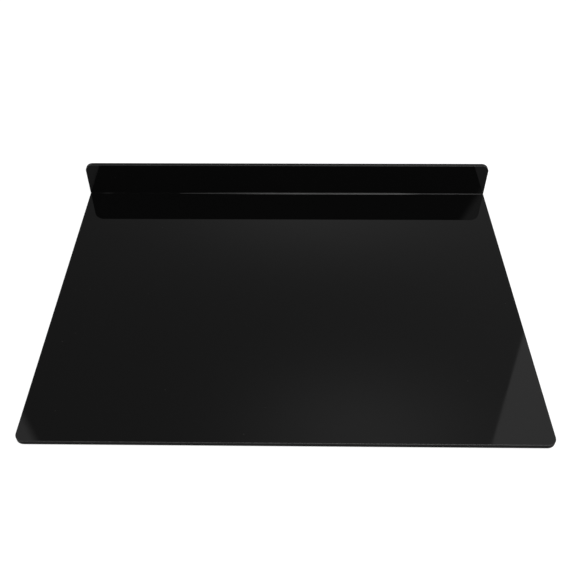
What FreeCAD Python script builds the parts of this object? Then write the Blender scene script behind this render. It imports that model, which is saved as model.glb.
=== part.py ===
"""Black acrylic kick plate: a flat face panel with a low upstand cemented along its back edge.

Frame: X across the plate, +Y towards the upstand, +Z out of the glossy face. The origin is the centre of the
bounding box's underside, where the release liners of the mounting tape lie. All sizes are in millimetres.
"""

import FreeCAD, Part
import os

from FreeCAD import Vector

INCH = 25.4

# Driving dimensions
FACE_WIDTH = 24 * INCH
FACE_DEPTH = 18 * INCH          # clear depth of the face, in front of the upstand
SHEET = 6.0                     # thickness of the panel and of the upstand: nominal 1/4 in sheet
UPSTAND_HEIGHT = 52.4           # 2 1/16 in, above the face
CORNER_RADIUS = INCH * 7 / 16   # the panel's front corners and the upstand's top corners
ARRIS = 0.8                     # rounding of the polished edges
CEMENT_LEG = 2.4                # how far the bead of cement reaches up and out of the inside corner
CEMENT_END_GAP = 1.0            # the bead stops this far from each end of the corner

TAPE_WIDTH = INCH
TAPE_THICKNESS = 1.1
TAPE_INSET = 12.0               # from the panel's outline to the tape
TAPE_END_GAP = 12.0             # between a lengthways strip and the strips that run across
LINER_THICKNESS = 0.15
LINER_MARGIN = 0.8              # the liner is this much wider than its tape on each long side
LINER_TAB = 8.0                 # the liner's peeling tab, past one end of the tape

# Places that follow from them
PANEL_DEPTH = FACE_DEPTH + SHEET
HALF_WIDTH = FACE_WIDTH / 2
HALF_DEPTH = PANEL_DEPTH / 2
TAPE_BOTTOM = LINER_THICKNESS
PANEL_BOTTOM = TAPE_BOTTOM + TAPE_THICKNESS
PANEL_TOP = PANEL_BOTTOM + SHEET
UPSTAND_TOP = PANEL_TOP + UPSTAND_HEIGHT
UPSTAND_FRONT = HALF_DEPTH - SHEET

X_AXIS, Y_AXIS, Z_AXIS = Vector(1, 0, 0), Vector(0, 1, 0), Vector(0, 0, 1)
TINY = 1e-4


def on_plane(edge, axis, value):
    """Whether the whole edge lies where the coordinate called axis has this value."""
    box = edge.BoundBox
    low, high = getattr(box, axis + "Min"), getattr(box, axis + "Max")
    return abs(low - value) < TINY and abs(high - value) < TINY


def rounded_slab(length, height, radius):
    """An upright slab in XZ, SHEET thick along +Y, standing on Z = 0 and centred on X, with round top corners."""
    half = length / 2
    corner_z = height - radius
    corner_x = half - radius
    mid = radius * 2 ** -0.5
    right_arc = Part.Arc(
        Vector(half, 0, corner_z),
        Vector(corner_x + mid, 0, corner_z + mid),
        Vector(corner_x, 0, height),
    )
    left_arc = Part.Arc(
        Vector(-corner_x, 0, height),
        Vector(-corner_x - mid, 0, corner_z + mid),
        Vector(-half, 0, corner_z),
    )
    outline = [
        Part.LineSegment(Vector(-half, 0, 0), Vector(half, 0, 0)),
        Part.LineSegment(Vector(half, 0, 0), Vector(half, 0, corner_z)),
        right_arc,
        Part.LineSegment(Vector(corner_x, 0, height), Vector(-corner_x, 0, height)),
        left_arc,
        Part.LineSegment(Vector(-half, 0, corner_z), Vector(-half, 0, 0)),
    ]
    wire = Part.Wire([curve.toShape() for curve in outline])
    return Part.Face(wire).extrude(Vector(0, SHEET, 0))


def ease_free_edges(slab):
    """Rounds the arrises of a slab's two broad faces, except along the foot, where it is joined."""
    free = [
        edge
        for edge in slab.Edges
        if (on_plane(edge, "Y", 0) or on_plane(edge, "Y", SHEET)) and not on_plane(edge, "Z", 0)
    ]
    return slab.makeFillet(ARRIS, free)


def make_face_panel():
    """The flat panel: square corners under the upstand, round corners in front."""
    slab = ease_free_edges(rounded_slab(FACE_WIDTH, PANEL_DEPTH, CORNER_RADIUS))
    slab.rotate(Vector(0, 0, 0), X_AXIS, 90)
    slab.translate(Vector(0, HALF_DEPTH, PANEL_BOTTOM))
    return slab


def make_upstand_strip():
    """The upstand, which stands on the panel, flush with its back edge and its ends."""
    slab = ease_free_edges(rounded_slab(FACE_WIDTH, UPSTAND_HEIGHT, CORNER_RADIUS))
    slab.translate(Vector(0, UPSTAND_FRONT, PANEL_TOP))
    return slab


def make_corner_cement():
    """The concave bead of solvent cement along the inside corner."""
    start_x = -HALF_WIDTH + CEMENT_END_GAP
    corner = Vector(start_x, UPSTAND_FRONT, PANEL_TOP)
    foot = corner - Y_AXIS * CEMENT_LEG
    head = corner + Z_AXIS * CEMENT_LEG
    hollow = corner + (Z_AXIS - Y_AXIS) * (CEMENT_LEG * (1 - 2 ** -0.5))
    outline = [Part.LineSegment(corner, foot), Part.Arc(foot, hollow, head), Part.LineSegment(head, corner)]
    wire = Part.Wire([curve.toShape() for curve in outline])
    length = FACE_WIDTH - 2 * CEMENT_END_GAP
    return Part.Face(wire).extrude(X_AXIS * length)


def flat_box(x_span, y_span, z_span):
    """A box from its three (low, high) spans."""
    size = [high - low for low, high in (x_span, y_span, z_span)]
    return Part.makeBox(*size, Vector(x_span[0], y_span[0], z_span[0]))


def tape_spans():
    """Each strip's name, its X and Y spans, and whether it runs across the plate."""
    right, back = HALF_WIDTH - TAPE_INSET, HALF_DEPTH - TAPE_INSET
    across = (-right, right)
    lengthways = (-back + TAPE_WIDTH + TAPE_END_GAP, back - TAPE_WIDTH - TAPE_END_GAP)
    return {
        "front": (across, (-back, -back + TAPE_WIDTH), True),
        "back": (across, (back - TAPE_WIDTH, back), True),
        "left": ((-right, -right + TAPE_WIDTH), lengthways, False),
        "right": ((right - TAPE_WIDTH, right), lengthways, False),
        "centre": ((-TAPE_WIDTH / 2, TAPE_WIDTH / 2), lengthways, False),
    }


def widened(span, at_low, at_high):
    """A (low, high) span made longer at each end."""
    return (span[0] - at_low, span[1] + at_high)


def make_tape(x_span, y_span):
    """One strip of double-sided foam tape on the panel's underside."""
    return flat_box(x_span, y_span, (TAPE_BOTTOM, PANEL_BOTTOM))


def make_liner(x_span, y_span, runs_across):
    """The release liner under one strip: a little wider than the tape, with a peeling tab at one end."""
    along, aside = (x_span, y_span) if runs_across else (y_span, x_span)
    along = widened(along, 0, LINER_TAB)
    aside = widened(aside, LINER_MARGIN, LINER_MARGIN)
    x_out, y_out = (along, aside) if runs_across else (aside, along)
    return flat_box(x_out, y_out, (0, LINER_THICKNESS))


def main():
    nodes = {
        "face_panel": make_face_panel(),
        "upstand_strip": make_upstand_strip(),
        "corner_cement": make_corner_cement(),
    }
    for place, (x_span, y_span, runs_across) in tape_spans().items():
        nodes["tape_" + place] = make_tape(x_span, y_span)
        nodes["liner_" + place] = make_liner(x_span, y_span, runs_across)

    os.makedirs("parts", exist_ok=True)
    for name, shape in nodes.items():
        shape.exportStep("parts/" + name + ".step")
        box = shape.optimalBoundingBox(True, False)
        print(
            f"{name:15s} valid {shape.isValid()} solids {len(shape.Solids)} volume {shape.Volume:.1f} mm3, "
            f"x {box.XMin:.2f}..{box.XMax:.2f} y {box.YMin:.2f}..{box.YMax:.2f} z {box.ZMin:.2f}..{box.ZMax:.2f}"
        )


main()
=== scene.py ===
import math

import bpy
from mathutils import Matrix, Vector, noise


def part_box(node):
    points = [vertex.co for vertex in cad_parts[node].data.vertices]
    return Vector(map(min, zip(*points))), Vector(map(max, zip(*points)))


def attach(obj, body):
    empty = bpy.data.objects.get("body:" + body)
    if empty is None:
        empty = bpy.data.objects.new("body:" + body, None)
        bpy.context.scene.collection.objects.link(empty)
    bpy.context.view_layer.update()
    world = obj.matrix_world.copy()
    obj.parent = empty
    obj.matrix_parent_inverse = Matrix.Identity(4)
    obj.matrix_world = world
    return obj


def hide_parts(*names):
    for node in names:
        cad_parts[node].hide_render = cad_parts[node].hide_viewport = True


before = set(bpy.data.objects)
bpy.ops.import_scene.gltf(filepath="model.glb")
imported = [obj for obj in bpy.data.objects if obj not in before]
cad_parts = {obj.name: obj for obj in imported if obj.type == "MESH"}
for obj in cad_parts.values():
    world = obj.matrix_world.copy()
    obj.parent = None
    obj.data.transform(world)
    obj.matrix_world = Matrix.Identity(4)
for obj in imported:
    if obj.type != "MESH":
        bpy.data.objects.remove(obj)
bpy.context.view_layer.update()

# The looks of a black acrylic kick plate: a polished panel with a cemented upstand, on foam tape with paper
# liners. Metres, in the row frame: +X across the plate, +Y towards the upstand, +Z out of the glossy face.

MM = 0.001
INCH = 25.4 * MM


def span(node):
    """A node's lowest and highest corner."""
    low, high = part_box(node)
    return Vector(low), Vector(high)


PANEL_LOW, PANEL_HIGH = span("face_panel")
UPSTAND_LOW, UPSTAND_HIGH = span("upstand_strip")
CEMENT_LOW, CEMENT_HIGH = span("corner_cement")
WIDTH = PANEL_HIGH.x - PANEL_LOW.x
SHEET = PANEL_HIGH.z - PANEL_LOW.z


# ---------------------------------------------------------------- meshes

LARGE_FACE_WEIGHT = 100         # the most there is: beside a large face the shading follows that face


def add_object(name, data):
    """A new object in the scene."""
    thing = bpy.data.objects.new(name, data)
    bpy.context.collection.objects.link(thing)
    return thing


def new_piece(name, points, faces, materials, face_material=None, smooth=True):
    """A mesh object from points and faces, with its materials and the material index of each face."""
    mesh = bpy.data.meshes.new(name)
    mesh.from_pydata([tuple(p) for p in points], [], faces)
    for material in materials:
        mesh.materials.append(material)
    for polygon in mesh.polygons:
        polygon.use_smooth = smooth
        if face_material:
            polygon.material_index = face_material[polygon.index]
    mesh.validate()
    return add_object(name, mesh)


def weight_normals(piece):
    """Keeps the broad faces of an eased solid flat in the shading."""
    modifier = piece.modifiers.new("flat_faces", "WEIGHTED_NORMAL")
    modifier.weight = LARGE_FACE_WEIGHT
    modifier.keep_sharp = True


def flipped(faces):
    """The same faces, turned inside out."""
    return [tuple(reversed(face)) for face in faces]


# ---------------------------------------------------------------- the sheets' shape

CORNER_RADIUS = INCH * 7 / 16   # the free corners of both sheets
FOOT_RADIUS = 0.7 * MM          # the corners where the two sheets meet
LEAST_RADIUS = 0.05 * MM        # what the easing leaves of a foot corner
ARRIS = 0.7 * MM                # the eased edges of both sheets
FOOT_ARRIS = 0.15 * MM          # the seam's edges, left nearly sharp
CORNER_STEPS = 28
ARRIS_STEPS = 6
FACE_SLOT, EDGE_SLOT, ARRIS_SLOT = 0, 1, 2


def corner_points(centre, radius_u, radius_v, start_quarter):
    """A quarter turn about centre, from start_quarter right angles on, anticlockwise."""
    points = []
    for step in range(CORNER_STEPS + 1):
        angle = (start_quarter + step / CORNER_STEPS) * math.pi / 2
        points.append((centre[0] + radius_u * math.cos(angle), centre[1] + radius_v * math.sin(angle)))
    return points


def slab_outline(length, height, inset_free, inset_foot):
    """The sheet's outline, anticlockwise from the right end of its foot, drawn in by the two insets."""
    half = length / 2
    top_x, top_y = half - CORNER_RADIUS, height - CORNER_RADIUS
    foot_u = max(FOOT_RADIUS - inset_free, LEAST_RADIUS)
    foot_v = max(FOOT_RADIUS - inset_foot, LEAST_RADIUS)
    foot_x, foot_y = half - inset_free - foot_u, inset_foot + foot_v
    top = CORNER_RADIUS - inset_free
    return (
        corner_points((foot_x, foot_y), foot_u, foot_v, 3)
        + corner_points((top_x, top_y), top, top, 0)
        + corner_points((-top_x, top_y), top, top, 1)
        + corner_points((-foot_x, foot_y), foot_u, foot_v, 2)
    )


def eased_slab(name, length, height, place, materials):
    """A sheet with round top corners and eased edges. place turns (along, up, through) into the row frame.
    materials are those of the two broad faces, the cut edges and the eased arrises."""
    rings = []
    for step in range(ARRIS_STEPS + 1):
        turn = step / ARRIS_STEPS * math.pi / 2
        rings.append((1 - math.sin(turn), ARRIS * (1 - math.cos(turn))))
    rings += [(drawn, SHEET - depth) for drawn, depth in reversed(rings)]

    points, faces, face_material = [], [], []
    for drawn, depth in rings:
        for u, v in slab_outline(length, height, ARRIS * drawn, FOOT_ARRIS * drawn):
            points.append(place @ Vector((u, v, depth)))
    count = len(points) // len(rings)
    for ring in range(len(rings) - 1):
        low, high = ring * count, (ring + 1) * count
        for i in range(count):
            j = (i + 1) % count
            faces.append((low + i, low + j, high + j, high + i))
            face_material.append(EDGE_SLOT if ring == ARRIS_STEPS else ARRIS_SLOT)
    faces.append(tuple(reversed(range(count))))
    faces.append(tuple(range(len(points) - count, len(points))))
    face_material += [FACE_SLOT, FACE_SLOT]
    piece = new_piece(name, points, faces, materials, face_material)
    weight_normals(piece)
    return piece


# ---------------------------------------------------------------- node helpers

class Nodes:
    """A node tree with short ways to add and join nodes."""

    def __init__(self, tree):
        self.tree = tree
        tree.nodes.clear()

    def fill(self, socket, value):
        """Gives an input its number or colour, or joins another node's output to it."""
        if isinstance(value, bpy.types.NodeSocket):
            self.tree.links.new(value, socket)
        else:
            socket.default_value = value

    def add(self, kind, inputs=None, **settings):
        """A node of this kind. Its inputs go by name or number."""
        node = self.tree.nodes.new(kind)
        for name, value in settings.items():
            setattr(node, name, value)
        for name, value in (inputs or {}).items():
            self.fill(node.inputs[name], value)
        return node

    def math(self, operation, *values):
        """The result of a sum on numbers or other nodes' outputs."""
        return self.add("ShaderNodeMath", dict(enumerate(values)), operation=operation).outputs[0]

    def ramp(self, value, low, high, to=(0.0, 1.0), smooth=True):
        """value, as it goes from low to high, turned into a value that goes between the two in to."""
        kind = "SMOOTHSTEP" if smooth else "LINEAR"
        inputs = {"Value": value, "From Min": low, "From Max": high, "To Min": to[0], "To Max": to[1]}
        return self.add("ShaderNodeMapRange", inputs, interpolation_type=kind).outputs["Result"]

    def mix(self, factor, first, second):
        """A colour between first and second."""
        node = self.add("ShaderNodeMix", {"Factor": factor}, data_type="RGBA")
        for name, value in (("A_Color", first), ("B_Color", second)):
            self.fill(next(s for s in node.inputs if s.identifier == name), value)
        return next(s for s in node.outputs if s.identifier == "Result_Color")

    def place(self, stretch=(1, 1, 1)):
        """The piece's own coordinates in metres, times a number for each axis."""
        where = self.add("ShaderNodeTexCoord").outputs["Object"]
        return self.add("ShaderNodeMapping", {"Vector": where, "Scale": stretch}).outputs["Vector"]

    def noise(self, scale, detail=3.0, roughness=0.5, stretch=(1, 1, 1)):
        """Cloudy noise, with about scale clouds to the metre."""
        inputs = {"Vector": self.place(stretch), "Scale": scale, "Detail": detail, "Roughness": roughness}
        return self.add("ShaderNodeTexNoise", inputs).outputs["Fac"]

    def cells(self, scale):
        """Random cells, scale to the metre: each point's distance from its cell's middle, and its colour."""
        inputs = {"Vector": self.place(), "Scale": scale}
        return self.add("ShaderNodeTexVoronoi", inputs, feature="F1").outputs

    def blend(self, first, second, share):
        """first and second added up, with this share of second and the rest of first."""
        rest = self.math("MULTIPLY", first, 1 - share)
        return self.math("ADD", rest, self.math("MULTIPLY", second, share))


def grey(level, warmth=0.0):
    """A colour of this brightness, a little warmer or cooler than neutral."""
    return (level * (1 + warmth), level, level * (1 - warmth), 1.0)


def new_material(name):
    """A new material, and its node tree, empty."""
    material = bpy.data.materials.new(name)
    material.use_nodes = True
    return material, Nodes(material.node_tree)


IOR = 1.49                      # of acrylic, and near enough for the cement, the foam and the paper


def finish_material(nodes, colour, roughness, height=None, depth=0.0):
    """A Principled surface from a colour, a roughness and a height map that is depth metres deep."""
    inputs = {"Base Color": colour, "Roughness": roughness, "IOR": IOR}
    if height is not None:
        bump = nodes.add("ShaderNodeBump", {"Height": height, "Strength": 1.0, "Distance": depth})
        inputs["Normal"] = bump.outputs["Normal"]
    surface = nodes.add("ShaderNodeBsdfPrincipled", inputs)
    nodes.add("ShaderNodeOutputMaterial", {"Surface": surface.outputs["BSDF"]})


# ---------------------------------------------------------------- materials

ACRYLIC_LEVEL = 0.0012          # diffuse colour of the black sheet
WIPE_DARK, WIPE_PALE = 0.8, 1.25    # times that level, where it is wiped well and less well
HAIR_SHARE = 0.3                # fine wipe lines, beside the broad wipe marks
EDGE_LEVELS = (0.0025, 0.006)
EDGE_MARKS_SHARE = 0.5          # fine marks, beside the broader patches
# The arrises' colour is partly scraping wear and partly a painted highlight. The panel's arrises are painted
# brighter than the upstand's.
PANEL_ARRIS_WEAR_AND_HIGHLIGHT = 0.03
UPSTAND_ARRIS_WEAR_AND_HIGHLIGHT = 0.016
ARRIS_SPREAD = 0.4              # how much darker and paler an arris gets
CEMENT_LEVEL, BUBBLE_LEVEL = 0.016, 0.05
FOAM_LEVELS = (0.06, 0.13)
PAPER_DARK, PAPER_PALE = (0.70, 0.66, 0.56, 1.0), (0.86, 0.83, 0.75, 1.0)

DUST_LEVEL, DUST_WARMTH = 0.05, 0.03
DUST_ROUGHNESS = 0.5
DUST_PITCH = 50.0               # dust cells per metre
DUST_RADIUS = 0.022             # of a cell
DUST_CORE = 0.6                 # a speck's solid middle, as a share of its radius
DUST_SHARE = 0.50               # cells under this have no speck


def dust_specks(nodes):
    """1 on a few small specks, 0 elsewhere."""
    cells = nodes.cells(DUST_PITCH)
    chosen = nodes.add("ShaderNodeSeparateColor", {"Color": cells["Color"]}).outputs["Red"]
    speck = nodes.ramp(cells["Distance"], DUST_RADIUS * DUST_CORE, DUST_RADIUS, to=(1.0, 0.0))
    return nodes.math("MULTIPLY", speck, nodes.math("GREATER_THAN", chosen, DUST_SHARE))


def black_acrylic():
    """The polished faces: near black, mirror gloss, faint wipe marks and a few specks of dust."""
    material, nodes = new_material("black_acrylic")
    wipe = nodes.noise(scale=5.0, detail=4.0, roughness=0.6, stretch=(1.0, 2.2, 1.0))
    hair = nodes.noise(scale=420.0, detail=2.0, stretch=(0.05, 1.0, 1.0))
    dust = dust_specks(nodes)
    clean = nodes.mix(wipe, grey(ACRYLIC_LEVEL * WIPE_DARK), grey(ACRYLIC_LEVEL * WIPE_PALE))
    colour = nodes.mix(dust, clean, grey(DUST_LEVEL, DUST_WARMTH))
    marks = nodes.math("ADD", wipe, nodes.math("MULTIPLY", hair, HAIR_SHARE))
    gloss = nodes.ramp(marks, 0.45, 0.95, to=(0.01, 0.04))
    roughness = nodes.math("ADD", gloss, nodes.math("MULTIPLY", dust, DUST_ROUGHNESS))
    finish_material(nodes, colour, roughness)
    return material


def polished_edge(name, stretch):
    """The cut and polished edges, with faint marks across the sheet's thickness."""
    material, nodes = new_material(name)
    marks = nodes.noise(scale=900.0, detail=2.0, stretch=stretch)
    patches = nodes.noise(scale=60.0)
    colour = nodes.mix(patches, *(grey(level) for level in EDGE_LEVELS))
    tone = nodes.math("ADD", nodes.math("MULTIPLY", marks, EDGE_MARKS_SHARE), patches)
    roughness = nodes.ramp(tone, 0.4, 1.1, to=(0.04, 0.22))
    finish_material(nodes, colour, roughness, height=marks, depth=0.012 * MM)
    return material


def arris_wear_and_highlight(name, level):
    """The scraped arrises: satin, and paler than the sheet, so they show as fine light lines. The paleness
    is partly scraping wear and partly a painted highlight.
    """
    material, nodes = new_material(name)
    scrape = nodes.noise(scale=500.0)
    wear = nodes.noise(scale=25.0, detail=4.0, roughness=0.6)
    tone = nodes.blend(scrape, wear, 0.5)
    darkest, palest = grey(level * (1 - ARRIS_SPREAD)), grey(level * (1 + ARRIS_SPREAD))
    # this colour's paleness is partly a painted highlight
    colour = nodes.mix(nodes.ramp(tone, 0.3, 0.7), darkest, palest)
    roughness = nodes.ramp(tone, 0.3, 0.7, to=(0.2, 0.36))
    finish_material(nodes, colour, roughness, height=scrape, depth=0.02 * MM)
    return material


def set_cement():
    """Clear solvent cement, set over the black sheet: glossy, a little uneven, with small bubbles."""
    material, nodes = new_material("set_cement")
    swell = nodes.noise(scale=90.0)
    bubbles = nodes.ramp(nodes.cells(700.0)["Distance"], 0.1, 0.22, to=(0.5, 0.0))
    colour = nodes.mix(bubbles, grey(CEMENT_LEVEL), grey(BUBBLE_LEVEL))
    roughness = nodes.ramp(swell, 0.35, 0.75, to=(0.05, 0.2))
    finish_material(nodes, colour, roughness, height=swell, depth=0.1 * MM)
    return material


def foam_tape():
    """Dark grey closed-cell foam."""
    material, nodes = new_material("foam_tape")
    cells = nodes.cells(2600.0)["Distance"]
    shade = nodes.noise(scale=80.0, detail=4.0)
    colour = nodes.mix(nodes.blend(cells, shade, 0.4), *(grey(level) for level in FOAM_LEVELS))
    roughness = nodes.ramp(cells, 0.0, 0.8, to=(0.95, 0.75))
    finish_material(nodes, colour, roughness, height=cells, depth=0.2 * MM)
    return material


def release_liner():
    """Cream siliconised paper: fibrous and cloudy, with a slight sheen."""
    material, nodes = new_material("release_liner")
    fibres = nodes.noise(scale=1400.0, detail=4.0, stretch=(1.0, 0.35, 1.0))
    clouds = nodes.noise(scale=30.0)
    colour = nodes.mix(nodes.blend(fibres, clouds, 0.5), PAPER_DARK, PAPER_PALE)
    roughness = nodes.ramp(clouds, 0.3, 0.7, to=(0.32, 0.5))
    finish_material(nodes, colour, roughness, height=fibres, depth=0.03 * MM)
    return material


# ---------------------------------------------------------------- panel and upstand

ACROSS_SHEET = 0.08             # stretches an edge's marks along the sheet's thickness


def make_face_panel(acrylic):
    """The panel lies with its foot, the edge under the upstand, at the back."""
    depth = PANEL_HIGH.y - PANEL_LOW.y
    place = Matrix.Translation((0, PANEL_HIGH.y, PANEL_LOW.z)) @ Matrix.Rotation(math.pi, 4, "Z")
    edge = polished_edge("panel_edge", (1.0, 1.0, ACROSS_SHEET))
    # the panel's arrises carry a painted highlight in their colour
    arris = arris_wear_and_highlight("panel_arris_wear_and_highlight", PANEL_ARRIS_WEAR_AND_HIGHLIGHT)
    return eased_slab("face_panel_sheet", WIDTH, depth, place, [acrylic, edge, arris])


def make_upstand(acrylic):
    """The upstand stands on its foot, along the panel's back edge."""
    height = UPSTAND_HIGH.z - UPSTAND_LOW.z
    place = Matrix.Translation((0, UPSTAND_HIGH.y, UPSTAND_LOW.z)) @ Matrix.Rotation(math.pi / 2, 4, "X")
    edge = polished_edge("upstand_edge", (1.0, ACROSS_SHEET, 1.0))
    # the upstand's arrises carry a weaker painted highlight in their colour
    arris = arris_wear_and_highlight("upstand_arris_wear_and_highlight", UPSTAND_ARRIS_WEAR_AND_HIGHLIGHT)
    return eased_slab("upstand_sheet", WIDTH, height, place, [acrylic, edge, arris])


# ---------------------------------------------------------------- bead of cement

BEAD_STEP = 1.5 * MM
BEAD_ARC_STEPS = 8
BEAD_FILL = 0.85                # the bead's usual legs, as a share of the CAD bead's
BEAD_TAPER = 6 * MM             # towards each end the bead thins out over this length,
BEAD_END = 0.35                 # to this share of its size
BEAD_OUT = (1.0, 0.16)          # seed and spread of its leg on the panel
BEAD_UP = (7.0, 0.10)           # seed and spread of its leg on the upstand
# (place along the plate in widths, size): the cement has pooled in the middle.
BEAD_POOL = (
    (-0.5, 0.02), (-0.477, 0.02), (-0.457, 0.14), (-0.437, 0.02), (-0.272, 0.02), (-0.268, 0.25),
    (-0.22, 0.42), (-0.1, 1.1), (0.28, 1.0), (0.34, 0.33), (0.5, 0.3),
)
SLOW_WAVES, QUICK_WAVES = 22.0, 140.0   # per metre
QUICK_SHARE = 0.4
QUICK_SEED = 5.0


def uneven(x, seed, spread):
    """A random change along the plate: slow, and of about spread either way, with a quick one on it."""
    slow = noise.noise(Vector((x * SLOW_WAVES, seed, 0.0)))
    quick = noise.noise(Vector((x * QUICK_WAVES, seed, QUICK_SEED)))
    return spread * (slow + QUICK_SHARE * quick)


def pooled(x):
    """The bead's size at x, as a share of its usual size."""
    place = x / WIDTH
    for (start, low), (end, high) in zip(BEAD_POOL, BEAD_POOL[1:]):
        if place <= end:
            return low + (high - low) * (place - start) / (end - start)
    return BEAD_POOL[-1][1]


def make_bead(material):
    """The concave bead in the inside corner. Its legs on the panel and the upstand vary along its length."""
    corner_y, corner_z = UPSTAND_LOW.y, UPSTAND_LOW.z
    usual_leg = (CEMENT_HIGH.z - CEMENT_LOW.z) * BEAD_FILL
    length = CEMENT_HIGH.x - CEMENT_LOW.x
    stations = round(length / BEAD_STEP)
    section = BEAD_ARC_STEPS + 2
    points, faces = [], []
    for station in range(stations + 1):
        x = CEMENT_LOW.x + length * station / stations
        from_end = min(x - CEMENT_LOW.x, CEMENT_HIGH.x - x)
        fullness = min(1.0, from_end / BEAD_TAPER) ** 0.5
        size = usual_leg * pooled(x) * (BEAD_END + (1 - BEAD_END) * fullness)
        out = size * (1 + uneven(x, *BEAD_OUT))
        up = size * (1 + uneven(x, *BEAD_UP))
        points.append(Vector((x, corner_y, corner_z)))
        for step in range(BEAD_ARC_STEPS + 1):
            turn = step / BEAD_ARC_STEPS * math.pi / 2
            y = corner_y - out * (1 - math.sin(turn))
            z = corner_z + up * (1 - math.cos(turn))
            points.append(Vector((x, y, z)))
    for station in range(stations):
        a, b = station * section, (station + 1) * section
        for i in range(section):
            j = (i + 1) % section
            faces.append((a + i, b + i, b + j, a + j))
    faces.append(tuple(range(section)))
    faces.append(tuple(reversed(range(len(points) - section, len(points)))))
    piece = new_piece("cement_bead", points, faces, [material])
    weight_normals(piece)
    return piece


# ---------------------------------------------------------------- tape and liners

# The tape's cut side, from below: how far it is drawn in, in half widths, and how high, in thicknesses.
TAPE_SIDE = ((0.012, 0.0), (0.0, 0.12), (0.020, 0.5), (0.0, 0.88), (0.012, 1.0))
TAPE_STATIONS = 90
TAPE_WANDER = 0.008             # in half widths
TAPE_WAVES = 9.0                # along one strip
TAPE_SEED = 3.7                 # for each letter of the strip's place
# Half of the liner's section, as (aside, height) in half widths and thicknesses. A half turn gives the rest.
LINER_RIM = ((1.0, 0.15), (1.0, 0.85), (0.97, 1.0), (0.5, 1.0), (0.0, 1.0), (-0.5, 1.0), (-0.97, 1.0))
LINER_STATIONS = 120
TAB_CURL = 0.7 * MM
TAB_DROOP = 0.25                # the sides of the tab lift this much less, as a share


def end_cap(first, count):
    """Quads across a ring of count points, which is counted both ways from its first point."""
    pairs = [(first + -k % count, first + k + 1) for k in range(count // 2)]
    return [(a, b, d, c) for (a, b), (c, d) in zip(pairs, pairs[1:])]


def strip_box(node):
    """A strip's lowest and highest corner, and its long axis (0 or 1)."""
    low, high = span(node)
    return low, high, 0 if high.x - low.x > high.y - low.y else 1


def sweep_strip(name, node, material, stations, section_at):
    """A closed strip along a node's long axis. section_at(t) gives the section's (aside, z) points at t in
    0..1, with aside from -1 to 1 across the strip's width."""
    low, high, along = strip_box(node)
    across = 1 - along
    middle = (low[across] + high[across]) / 2
    half = (high[across] - low[across]) / 2
    points, faces = [], []
    for station in range(stations + 1):
        t = station / stations
        for aside, z in section_at(t):
            point = Vector((0, 0, z))
            point[along] = low[along] + (high[along] - low[along]) * t
            point[across] = middle + half * aside
            points.append(point)
    section = len(points) // (stations + 1)
    for station in range(stations):
        a, b = station * section, (station + 1) * section
        for i in range(section):
            j = (i + 1) % section
            faces.append((a + i, a + j, b + j, b + i))
    faces += flipped(end_cap(0, section)) + end_cap(len(points) - section, section)
    if along == 1:
        faces = flipped(faces)
    piece = new_piece(name, points, faces, [material])
    weight_normals(piece)
    return piece


def make_tape(place, material):
    """A strip of foam tape: its cut sides are slightly hollow and wander by a fraction of a millimetre."""
    node = "tape_" + place
    low, high = span(node)
    seed = len(place) * TAPE_SEED

    def section_at(t):
        wander = abs(TAPE_WANDER * noise.noise(Vector((t * TAPE_WAVES, seed, 0.0))))
        right = [(1 - drawn - wander, low.z + (high.z - low.z) * rise) for drawn, rise in TAPE_SIDE]
        left = [(-aside, z) for aside, z in reversed(right)]
        return right + left

    return sweep_strip("foam_" + place, node, material, TAPE_STATIONS, section_at)


def make_liner(place, material):
    """A paper liner: flat under its tape, with a peeling tab that lifts at one end."""
    node = "liner_" + place
    low, high, along = strip_box(node)
    tape_end = span("tape_" + place)[1][along]
    tab_start = (tape_end - low[along]) / (high[along] - low[along])
    thick = high.z - low.z
    outline = LINER_RIM + tuple((-aside, 1 - rise) for aside, rise in LINER_RIM)

    def section_at(t):
        lift = TAB_CURL * max(0.0, (t - tab_start) / (1 - tab_start)) ** 2
        droop = lift * TAB_DROOP
        return [(aside, low.z + thick * rise + lift - droop * abs(aside)) for aside, rise in outline]

    return sweep_strip("paper_" + place, node, material, LINER_STATIONS, section_at)


# ---------------------------------------------------------------- what the gloss mirrors

WHITE = (1.0, 1.0, 1.0, 1.0)
CEILING = 0.193                 # the brightness of the ceiling, which lies one unit up
CEILING_TILT = 0.085            # how much brighter it is one unit to the right, and dimmer to the left
CEILING_REACH = 2.35            # its half size; paler walls lie beyond it
LEAST_RISE = 0.08               # level headings count as rising this much, and so reach the walls
WALLS = 0.40
WALL_SOFTNESS = 0.02
GLOWS = (                       # (brightness, centre, spread) of soft glows on the ceiling
    (0.136, (0.06, 1.28), (0.29, 0.18)),
    (0.184, (0.12, 0.68), (0.18, 0.14)),
    (0.42, (0.0, -1.35), (1.2, 0.5)),
    (0.35, (-1.55, 1.4), (0.5, 0.45)),
)
# Soft-edged cards on the ceiling: brightness, a point on the edge, the edge's heading in degrees (the card
# is on its right-hand side), softness, half its length along the edge, and its width.
CARDS = (
    (0.355, (0.4172, 0.891), 66.7, 0.0022, 0.55, 0.8),
    (0.35, (-0.4288, 0.713), 304.4, 0.009, 0.35, 0.6),
    (2.1, (0.392, -1.271), 120.5, 0.0095, 0.7, 0.9),
    (0.5, (-1.25, 1.75), 145.0, 0.012, 0.55, 0.5),
)


def glow_level(nodes, u, v, brightness, centre, spread):
    """A round soft glow on the ceiling."""
    offset_u = nodes.math("DIVIDE", nodes.math("SUBTRACT", u, centre[0]), spread[0])
    offset_v = nodes.math("DIVIDE", nodes.math("SUBTRACT", v, centre[1]), spread[1])
    square = nodes.math("ADD", nodes.math("POWER", offset_u, 2.0), nodes.math("POWER", offset_v, 2.0))
    return nodes.math("MULTIPLY", nodes.math("EXPONENT", nodes.math("MULTIPLY", square, -1.0)), brightness)


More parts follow.
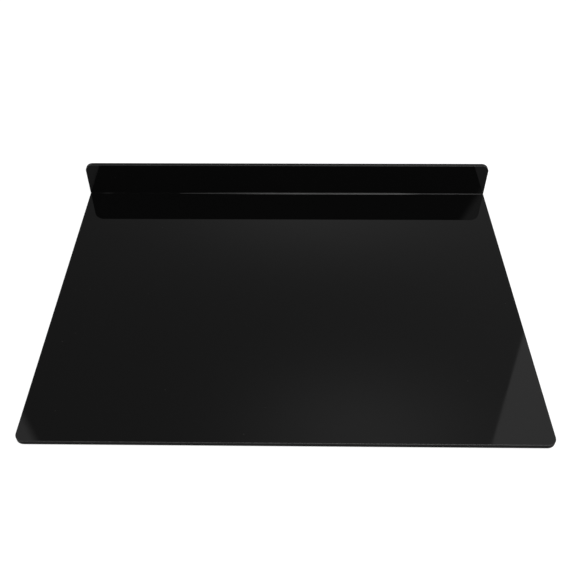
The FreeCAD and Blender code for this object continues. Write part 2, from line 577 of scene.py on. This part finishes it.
def card_level(nodes, u, v, brightness, point, heading, softness, half_length, width):
    """A bright rectangle on the right-hand side of a line through point."""
    along_u, along_v = math.cos(math.radians(heading)), math.sin(math.radians(heading))
    from_u, from_v = nodes.math("SUBTRACT", u, point[0]), nodes.math("SUBTRACT", v, point[1])
    along = nodes.math(
        "ADD", nodes.math("MULTIPLY", from_u, along_u), nodes.math("MULTIPLY", from_v, along_v)
    )
    aside = nodes.math(
        "SUBTRACT", nodes.math("MULTIPLY", from_u, along_v), nodes.math("MULTIPLY", from_v, along_u)
    )
    off_centre = nodes.math("ABSOLUTE", along)
    inside_ends = nodes.ramp(off_centre, half_length - softness, half_length + softness, to=(1.0, 0.0))
    past_edge = nodes.ramp(aside, -softness, softness, to=(0.0, brightness))
    before_back = nodes.ramp(aside, width - softness, width + softness, to=(1.0, 0.0))
    return nodes.math("MULTIPLY", nodes.math("MULTIPLY", inside_ends, past_edge), before_back)


def walled(nodes, u, v, level):
    """The ceiling's level out to its straight edges, and the walls' level beyond them."""
    reach = nodes.math("MAXIMUM", nodes.math("ABSOLUTE", u), nodes.math("ABSOLUTE", v))
    beyond = nodes.ramp(reach, CEILING_REACH - WALL_SOFTNESS, CEILING_REACH + WALL_SOFTNESS)
    above = nodes.math("MULTIPLY", level, nodes.math("SUBTRACT", 1.0, beyond))
    return nodes.math("ADD", above, nodes.math("MULTIPLY", beyond, WALLS))


def make_world():
    """White to the camera. To everything else, a dim grey ceiling with soft glows and cards, and walls."""
    world = bpy.data.worlds.new("studio")
    bpy.context.scene.world = world
    world.use_nodes = True
    nodes = Nodes(world.node_tree)
    heading = nodes.add("ShaderNodeTexCoord").outputs["Generated"]
    axes = nodes.add("ShaderNodeSeparateXYZ", {"Vector": heading}).outputs
    rise = nodes.math("MAXIMUM", axes["Z"], LEAST_RISE)
    u, v = (nodes.math("DIVIDE", axes[name], rise) for name in ("X", "Y"))
    level = nodes.ramp(u, -1.0, 1.0, to=(CEILING - CEILING_TILT, CEILING + CEILING_TILT), smooth=False)
    for glow in GLOWS:
        level = nodes.math("ADD", level, glow_level(nodes, u, v, *glow))
    for card in CARDS:
        level = nodes.math("ADD", level, card_level(nodes, u, v, *card))
    level = walled(nodes, u, v, level)
    seen = nodes.add("ShaderNodeBackground", {"Color": WHITE, "Strength": 1.0})
    mirrored = nodes.add("ShaderNodeBackground", {"Color": WHITE, "Strength": level})
    to_camera = nodes.add("ShaderNodeLightPath").outputs["Is Camera Ray"]
    mixed = nodes.add("ShaderNodeMixShader", {0: to_camera, 1: mirrored.outputs[0], 2: seen.outputs[0]})
    nodes.add("ShaderNodeOutputWorld", {"Surface": mixed.outputs[0]})


# ---------------------------------------------------------------- floor and lights

FLOOR_SIZE = 12.0
FLOOR_NEAR, FLOOR_FAR = 0.88, 0.95
FLOOR_FADE = (0.5, 2.5)         # the distances from the middle that near and far mean
FLOOR_COLOUR = 0.3              # what takes the light shadow
FLOOR_BOUNCE = 0.26             # what the edges and the upstand mirror of the floor
SOFTBOX_CORE = 0.4              # the evenly bright middle of a softbox, as a share of its size
SOFTBOXES = (                   # (name, place, what it faces, size, radiance)
    ("overhead_softbox", (0.28, -0.15, 1.25), (0.1, 0.0, 0.0), (1.1, 0.9), 1.7),
    ("left_softbox", (-0.62, -0.15, 1.25), (-0.2, 0.0, 0.0), (1.0, 0.9), 0.6),
)


def make_floor():
    """A plain white floor with a very light shadow, which the object mirrors as a dark grey."""
    half = FLOOR_SIZE / 2
    corners = [(-half, -half, 0), (half, -half, 0), (half, half, 0), (-half, half, 0)]
    material, nodes = new_material("floor_white")
    measure = nodes.add("ShaderNodeVectorMath", {0: nodes.place()}, operation="LENGTH")
    strength = nodes.ramp(measure.outputs["Value"], *FLOOR_FADE, to=(FLOOR_NEAR, FLOOR_FAR))
    glow = nodes.add("ShaderNodeEmission", {"Color": WHITE, "Strength": strength})
    lit = nodes.add("ShaderNodeBsdfDiffuse", {"Color": grey(FLOOR_COLOUR)})
    bounce = nodes.add("ShaderNodeBsdfDiffuse", {"Color": grey(FLOOR_BOUNCE)})
    seen = nodes.add("ShaderNodeAddShader", {0: glow.outputs[0], 1: lit.outputs[0]})
    to_camera = nodes.add("ShaderNodeLightPath").outputs["Is Camera Ray"]
    mixed = nodes.add("ShaderNodeMixShader", {0: to_camera, 1: bounce.outputs[0], 2: seen.outputs[0]})
    nodes.add("ShaderNodeOutputMaterial", {"Surface": mixed.outputs[0]})
    floor = new_piece("floor", corners, [(0, 1, 2, 3)], [material], smooth=False)


def soft_edges(light):
    """Fades an area light towards its edges, at the same power."""
    light.use_nodes = True
    nodes = Nodes(light.node_tree)
    place = nodes.add("ShaderNodeNewGeometry").outputs["Parametric"]
    axes = nodes.add("ShaderNodeSeparateXYZ", {"Vector": place}).outputs
    level = 1 / ((1 + SOFTBOX_CORE) / 2) ** 2
    for name in ("X", "Y"):
        from_middle = nodes.math("ABSOLUTE", nodes.math("MULTIPLY_ADD", axes[name], 2.0, -1.0))
        fade = nodes.ramp(from_middle, SOFTBOX_CORE, 1.0, to=(1.0, 0.0))
        level = nodes.math("MULTIPLY", fade, level)
    emission = nodes.add("ShaderNodeEmission", {"Color": WHITE, "Strength": level})
    nodes.add("ShaderNodeOutputLight", {"Surface": emission.outputs[0]})


def make_softbox(name, place, target, size, radiance):
    """An area light that shines from place towards target, with two of its sides level."""
    light = bpy.data.lights.new(name, "AREA")
    light.shape = "RECTANGLE"
    light.size, light.size_y = size
    light.energy = radiance * math.pi * size[0] * size[1]
    soft_edges(light)
    back = (Vector(place) - Vector(target)).normalized()
    up = back.cross(Vector((1, 0, 0))).normalized()
    turn = Matrix((up.cross(back), up, back)).transposed()
    add_object(name, light).matrix_world = Matrix.Translation(place) @ turn.to_4x4()


# ---------------------------------------------------------------- camera

# The camera stands this far from the middle of the inside corner, in plate widths.
CAMERA_OFFSET = Vector((0.0052, -1.5275, 1.1633))
CAMERA_DROP = 44.491            # degrees below the horizon
CAMERA_HEADING = 1.215          # degrees, anticlockwise from +Y
CAMERA_ROLL = -0.576            # degrees
CAMERA_LENS = 46.716            # mm, for a frame
CAMERA_FRAME = 36.0             # mm wide
CAMERA_SHIFT = 0.02             # of the frame's width: the object stands a little off the lens's axis
CAMERA_RANGE = (0.01, 100.0)    # what is nearer or farther isn't drawn


def make_camera():
    """The scene's camera, looking down on the plate from in front."""
    data = bpy.data.cameras.new("camera")
    data.lens = CAMERA_LENS
    data.sensor_width = CAMERA_FRAME
    data.shift_x = CAMERA_SHIFT
    data.clip_start, data.clip_end = CAMERA_RANGE
    camera = add_object("camera", data)
    inside_corner = Vector((0, UPSTAND_LOW.y, UPSTAND_LOW.z))
    camera.matrix_world = (
        Matrix.Translation(inside_corner + CAMERA_OFFSET * WIDTH)
        @ Matrix.Rotation(math.radians(CAMERA_HEADING), 4, "Z")
        @ Matrix.Rotation(math.radians(90 - CAMERA_DROP), 4, "X")
        @ Matrix.Rotation(math.radians(CAMERA_ROLL), 4, "Z")
    )
    bpy.context.scene.camera = camera


# ---------------------------------------------------------------- build

def stand_in(piece, node):
    """The piece takes the place of a CAD node on the plate's one body."""
    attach(piece, "root")
    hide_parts(node)


def build():
    """The plate's pieces, and the studio round them."""
    bpy.context.scene.view_settings.view_transform = "Standard"
    acrylic, foam, paper = black_acrylic(), foam_tape(), release_liner()
    stand_in(make_face_panel(acrylic), "face_panel")
    stand_in(make_upstand(acrylic), "upstand_strip")
    stand_in(make_bead(set_cement()), "corner_cement")
    for place in ("front", "back", "left", "right", "centre"):
        stand_in(make_tape(place, foam), "tape_" + place)
        stand_in(make_liner(place, paper), "liner_" + place)
    make_world()
    make_floor()
    for softbox in SOFTBOXES:
        make_softbox(*softbox)
    make_camera()


build()
